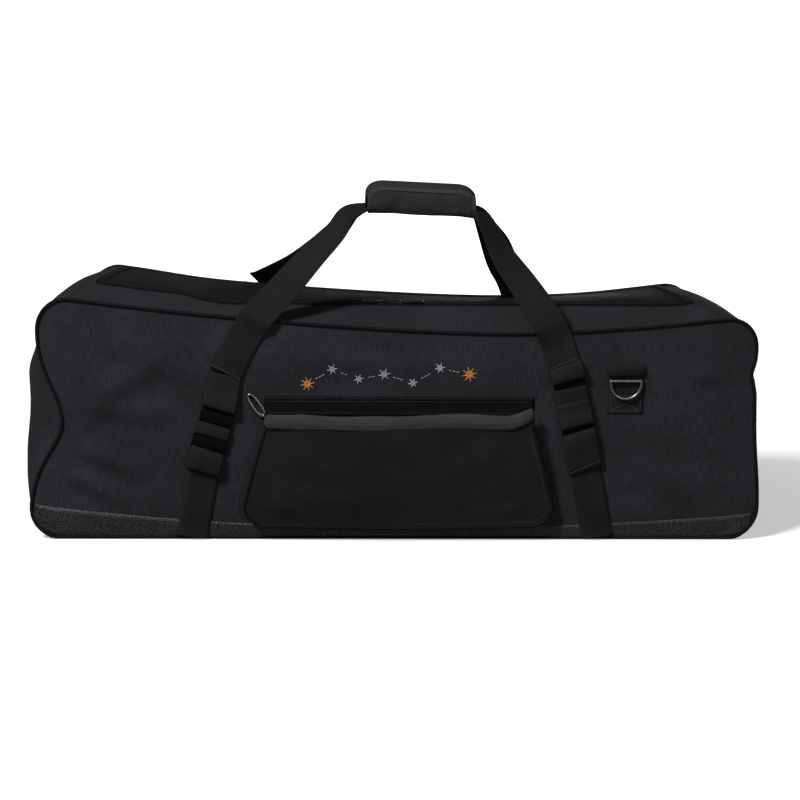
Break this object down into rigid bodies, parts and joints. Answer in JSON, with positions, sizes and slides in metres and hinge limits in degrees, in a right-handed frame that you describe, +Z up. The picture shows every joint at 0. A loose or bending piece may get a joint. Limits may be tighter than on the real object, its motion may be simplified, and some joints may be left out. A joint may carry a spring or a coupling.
{
  "type": "telescope carry case",
  "caption": "Long padded telescope carry case with a zipped lid, webbing handles joined by a padded grip, a bellows zip pocket and a D-ring.",
  "frame": {"origin": "centre of the flat rest face under the base", "axes": "+X along the case to the right seen from the front, -Y out of the front with the pocket, +Z up"},
  "size_m": [1, 0.2906, 0.495],
  "materials": {
    "cloth": "woven polyester, matt with a slight sheen",
    "pocket_cloth": "smooth woven polyester",
    "webbing": "ribbed webbing",
    "vinyl": "pebbled vinyl",
    "piping": "smooth covered cord",
    "grip_cloth": "padded cloth",
    "hook_loop": "hook and loop",
    "zip_tape": "herringbone tape",
    "coil": "nylon coil",
    "slider_metal": "dark nickel",
    "ring_metal": "nickel plated",
    "lining": "smooth nylon",
    "foam": "closed cell foam",
    "board": "plain board"
  },
  "bodies": {
    "case": {"front_panel": "cloth", "rear_panel": "cloth", "left_end_panel": "cloth", "right_end_panel": "cloth", "base_panel": "vinyl", "base_board": "board", "top_front_strip": "cloth", "top_end_strips": "cloth", "front_vinyl_guard": "vinyl", "rear_vinyl_guard": "vinyl", "front_piping": "piping", "rear_piping": "piping", "front_foam": "foam", "rear_foam": "foam", "left_end_foam": "foam", "right_end_foam": "foam", "base_foam": "foam", "case_lining": "lining", "zip_tape_case": "zip_tape", "zip_coil_case": "coil", "front_strap_left": "webbing", "front_strap_right": "webbing", "rear_strap_left": "webbing", "rear_strap_right": "webbing", "strap_loops_left": "webbing", "strap_loops_right": "webbing", "front_ring_tab": "webbing", "rear_ring_tab": "webbing", "pocket_zip_tape": "zip_tape", "pocket_zip_coil": "coil", "pocket_gusset_left": "pocket_cloth", "pocket_gusset_right": "pocket_cloth", "pocket_gusset_bottom": "pocket_cloth"},
    "lid": {"lid_panel": "cloth", "lid_foam": "foam", "lid_lining": "lining", "zip_tape_lid": "zip_tape", "zip_coil_lid": "coil"},
    "front_handle": {"front_handle_webbing": "webbing", "front_wrap_pad": "grip_cloth", "hook_strip": "hook_loop"},
    "flap": {"wrap_flap": "grip_cloth", "loop_strip": "hook_loop"},
    "rear_handle": {"rear_handle_webbing": "webbing", "rear_wrap_pad": "grip_cloth"},
    "left_slider": {"left_slider": "slider_metal"},
    "left_pull": {"left_pull": "slider_metal"},
    "right_slider": {"right_slider": "slider_metal"},
    "right_pull": {"right_pull": "slider_metal"},
    "pocket_face": {"pocket_panel": "pocket_cloth", "pocket_lip": "pocket_cloth", "pocket_piping": "piping"},
    "pocket_slider": {"pocket_slider": "slider_metal"},
    "pocket_pull": {"pocket_pull": "slider_metal"},
    "front_ring": {"front_d_ring": "ring_metal"},
    "rear_ring": {"rear_d_ring": "ring_metal"}
  },
  "joints": [
    {"name": "lid_hinge", "type": "hinge", "parent": "case", "child": "lid", "pos_m": [0, 0.128, 0.321], "axis": [-1, 0, 0], "range_deg": [0, 110]},
    {"name": "rear_handle_hinge", "type": "hinge", "parent": "lid", "child": "rear_handle", "pos_m": [0, 0.128, 0.321], "axis": [-1, 0, 0], "range_deg": [0, 95]},
    {"name": "front_handle_hinge", "type": "hinge", "parent": "case", "child": "front_handle", "pos_m": [0, -0.128, 0.321], "axis": [1, 0, 0], "range_deg": [0, 175]},
    {"name": "flap_hinge", "type": "hinge", "parent": "front_handle", "child": "flap", "pos_m": [0.036, -0.044, 0.453], "axis": [1, 0, 0], "range_deg": [0, 150]},
    {"name": "left_slider_slide", "type": "slide", "parent": "case", "child": "left_slider", "axis": [-1, 0, 0], "range_m": [0, 0.2]},
    {"name": "left_pull_hinge", "type": "hinge", "parent": "left_slider", "child": "left_pull", "pos_m": [-0.014, -0.0345, 0.3238], "axis": [0, 1, 0], "range_deg": [0, 110]},
    {"name": "right_slider_slide", "type": "slide", "parent": "case", "child": "right_slider", "axis": [1, 0, 0], "range_m": [0, 0.2]},
    {"name": "right_pull_hinge", "type": "hinge", "parent": "right_slider", "child": "right_pull", "pos_m": [0.014, -0.0345, 0.3238], "axis": [0, -1, 0], "range_deg": [0, 110]},
    {"name": "pocket_face_hinge", "type": "hinge", "parent": "case", "child": "pocket_face", "pos_m": [0.008, -0.15125, 0.012], "axis": [1, 0, 0], "range_deg": [0, 15]},
    {"name": "pocket_slider_slide", "type": "slide", "parent": "case", "child": "pocket_slider", "axis": [1, 0, 0], "range_m": [0, 0.35]},
    {"name": "pocket_pull_hinge", "type": "hinge", "parent": "pocket_slider", "child": "pocket_pull", "pos_m": [-0.17, -0.1318, 0.185], "axis": [0.809, 0, 0.5878], "range_deg": [0, 80]},
    {"name": "front_ring_hinge", "type": "hinge", "parent": "case", "child": "front_ring", "pos_m": [0.322, -0.1305, 0.229], "axis": [-1, 0, 0], "range_deg": [0, 150]},
    {"name": "rear_ring_hinge", "type": "hinge", "parent": "case", "child": "rear_ring", "pos_m": [-0.322, 0.1305, 0.229], "axis": [1, 0, 0], "range_deg": [0, 150]}
  ]
}
